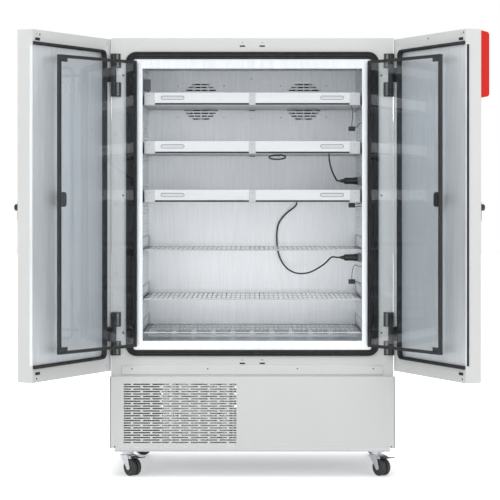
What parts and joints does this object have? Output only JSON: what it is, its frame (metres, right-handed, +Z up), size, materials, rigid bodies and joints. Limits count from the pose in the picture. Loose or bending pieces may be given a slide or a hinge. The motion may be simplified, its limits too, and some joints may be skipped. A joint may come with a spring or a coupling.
{
  "type": "climate chamber",
  "caption": "Tall double-door climate cabinet on casters, with glass inner doors, lamp trays, wire shelves and a louvred cooling bay.",
  "frame": {"origin": "on the floor, below the middle of the object's bounding box with the doors as pictured", "axes": "+Z up, -Y the front that the doors open towards, +X to the right seen from the front"},
  "size_m": [1.9679, 1.3448, 1.925],
  "materials": {
    "white_paint": "satin",
    "door_paint": "satin",
    "steel": "satin",
    "zinc": "satin",
    "wire_steel": "satin",
    "aluminium": "satin",
    "lamp_tray": "satin",
    "diffuser": "satin",
    "black_rubber": "matte",
    "black_plastic": "matte",
    "pale_plastic": "satin",
    "grey_plastic": "matte",
    "red_plastic": "satin",
    "screen": "gloss",
    "pane": "gloss",
    "foam": "matte",
    "compressor_black": "satin"
  },
  "bodies": {
    "cabinet": {"access_port": "steel", "back_panel": "white_paint", "base_chassis": "zinc", "cable_plugs": "black_plastic", "cassette_diffusers": "diffuser", "caster_stems": "zinc", "chamber_liner": "steel", "compressor": "compressor_black", "door_hinge_blocks": "black_plastic", "fan_grilles": "steel", "fan_motors": "zinc", "frame_gasket": "black_rubber", "front_frame": "white_paint", "glass_hinge_brackets": "black_plastic", "gutter_cover": "white_paint", "heat_exchangers": "aluminium", "insulation": "foam", "light_cassettes": "lamp_tray", "lower_front_cover": "white_paint", "lower_light_cable": "black_rubber", "outer_casing": "white_paint", "rear_baffle": "steel", "sensor_leads": "black_rubber", "shelf_carriers": "wire_steel", "spare_cable_loop": "black_rubber", "upper_light_cable": "black_rubber", "wall_fittings": "grey_plastic"},
    "left_door": {"left_door_skin": "door_paint", "left_door_panel": "steel", "left_door_gasket": "black_rubber", "left_door_fittings": "black_plastic"},
    "left_handle": {"left_handle_lever": "black_plastic"},
    "left_glass_door": {"left_glass_frame": "black_plastic", "left_glass_pane": "pane"},
    "right_door": {"right_door_skin": "door_paint", "right_door_panel": "steel", "right_door_gasket": "black_rubber", "right_door_fittings": "black_plastic", "right_centre_seal": "black_rubber", "controller_housing": "red_plastic", "controller_screen": "screen"},
    "right_handle": {"right_handle_lever": "black_plastic"},
    "right_glass_door": {"right_glass_frame": "black_plastic", "right_glass_pane": "pane"},
    "shelf_upper": {"shelf_upper": "wire_steel"},
    "shelf_middle": {"shelf_middle": "wire_steel"},
    "shelf_lower": {"shelf_lower": "wire_steel"},
    "circulation_fan_left": {"circulation_fan_left": "black_plastic"},
    "circulation_fan_right": {"circulation_fan_right": "black_plastic"},
    "condenser_fan": {"condenser_fan": "pale_plastic"},
    "caster_front_left": {"caster_fork_front_left": "zinc"},
    "wheel_front_left": {"caster_wheel_front_left": "black_rubber"},
    "brake_front_left": {"caster_brake_front_left": "zinc"},
    "caster_front_right": {"caster_fork_front_right": "zinc"},
    "wheel_front_right": {"caster_wheel_front_right": "black_rubber"},
    "brake_front_right": {"caster_brake_front_right": "zinc"},
    "caster_rear_left": {"caster_fork_rear_left": "zinc"},
    "wheel_rear_left": {"caster_wheel_rear_left": "black_rubber"},
    "caster_rear_right": {"caster_fork_rear_right": "zinc"},
    "wheel_rear_right": {"caster_wheel_rear_right": "black_rubber"}
  },
  "joints": [
    {"name": "left_door_hinge", "type": "hinge", "parent": "cabinet", "child": "left_door", "pos_m": [-0.608, -0.12257, 1], "axis": [0, 0, -1], "range_deg": [-117, 0]},
    {"name": "right_door_hinge", "type": "hinge", "parent": "cabinet", "child": "right_door", "pos_m": [0.608, -0.12257, 1], "axis": [0, 0, 1], "range_deg": [-114, 0]},
    {"name": "left_glass_hinge", "type": "hinge", "parent": "cabinet", "child": "left_glass_door", "pos_m": [-0.514, -0.12857, 1], "axis": [0, 0, -1], "range_deg": [-126, 0]},
    {"name": "right_glass_hinge", "type": "hinge", "parent": "cabinet", "child": "right_glass_door", "pos_m": [0.514, -0.12857, 1], "axis": [0, 0, 1], "range_deg": [-123, 0]},
    {"name": "left_handle_turn", "type": "hinge", "parent": "left_door", "child": "left_handle", "pos_m": [-0.95229, -0.58463, 1.186], "axis": [-0.891, 0.454, 0], "range_deg": [0, 40], "stiffness_Nm_per_rad": 1.5, "springref_deg": -12},
    {"name": "right_handle_turn", "type": "hinge", "parent": "right_door", "child": "right_handle", "pos_m": [0.92764, -0.60201, 1.186], "axis": [-0.9135, -0.4067, 0], "range_deg": [0, 40], "stiffness_Nm_per_rad": 1.5, "springref_deg": -12},
    {"name": "shelf_upper_slide", "type": "slide", "parent": "cabinet", "child": "shelf_upper", "axis": [0, -1, 0], "range_m": [0, 0.35]},
    {"name": "shelf_middle_slide", "type": "slide", "parent": "cabinet", "child": "shelf_middle", "axis": [0, -1, 0], "range_m": [0, 0.35]},
    {"name": "shelf_lower_slide", "type": "slide", "parent": "cabinet", "child": "shelf_lower", "axis": [0, -1, 0], "range_m": [0, 0.35]},
    {"name": "circulation_fan_left_spin", "type": "hinge", "parent": "cabinet", "child": "circulation_fan_left", "pos_m": [-0.2415, 0.52343, 1.6745], "axis": [0, -1, 0], "continuous": true},
    {"name": "circulation_fan_right_spin", "type": "hinge", "parent": "cabinet", "child": "circulation_fan_right", "pos_m": [0.2415, 0.52343, 1.6745], "axis": [0, -1, 0], "continuous": true},
    {"name": "condenser_fan_spin", "type": "hinge", "parent": "cabinet", "child": "condenser_fan", "pos_m": [-0.24, -0.06657, 0.284], "axis": [0, -1, 0], "continuous": true},
    {"name": "swivel_front_left", "type": "hinge", "parent": "cabinet", "child": "caster_front_left", "pos_m": [-0.55, -0.05057, 0.06], "axis": [0, 0, 1], "continuous": true},
    {"name": "roll_front_left", "type": "hinge", "parent": "caster_front_left", "child": "wheel_front_left", "pos_m": [-0.52879, -0.07179, 0.0375], "axis": [0.7071, 0.7071, 0], "continuous": true},
    {"name": "press_brake_front_left", "type": "hinge", "parent": "caster_front_left", "child": "brake_front_left", "pos_m": [-0.52313, -0.07744, 0.082], "axis": [0.7071, 0.7071, 0], "range_deg": [0, 9]},
    {"name": "swivel_front_right", "type": "hinge", "parent": "cabinet", "child": "caster_front_right", "pos_m": [0.55, -0.05057, 0.06], "axis": [0, 0, 1], "continuous": true},
    {"name": "roll_front_right", "type": "hinge", "parent": "caster_front_right", "child": "wheel_front_right", "pos_m": [0.56928, -0.07356, 0.0375], "axis": [0.766, 0.6428, 0], "continuous": true},
    {"name": "press_brake_front_right", "type": "hinge", "parent": "caster_front_right", "child": "brake_front_right", "pos_m": [0.57443, -0.07968, 0.082], "axis": [0.766, 0.6428, 0], "range_deg": [0, 9]},
    {"name": "swivel_rear_left", "type": "hinge", "parent": "cabinet", "child": "caster_rear_left", "pos_m": [-0.55, 0.59943, 0.06], "axis": [0, 0, 1], "continuous": true},
    {"name": "roll_rear_left", "type": "hinge", "parent": "caster_rear_left", "child": "wheel_rear_left", "pos_m": [-0.52181, 0.60969, 0.0375], "axis": [-0.342, 0.9397, 0], "continuous": true},
    {"name": "swivel_rear_right", "type": "hinge", "parent": "cabinet", "child": "caster_rear_right", "pos_m": [0.55, 0.59943, 0.06], "axis": [0, 0, 1], "continuous": true},
    {"name": "roll_rear_right", "type": "hinge", "parent": "caster_rear_right", "child": "wheel_rear_right", "pos_m": [0.57971, 0.6036, 0.0375], "axis": [-0.1392, 0.9903, 0], "continuous": true}
  ],
  "couplings": [
    {"joint": "left_glass_hinge", "follows": "left_door_hinge", "ratio": 1.0769},
    {"joint": "right_glass_hinge", "follows": "right_door_hinge", "ratio": 1.0789}
  ]
}
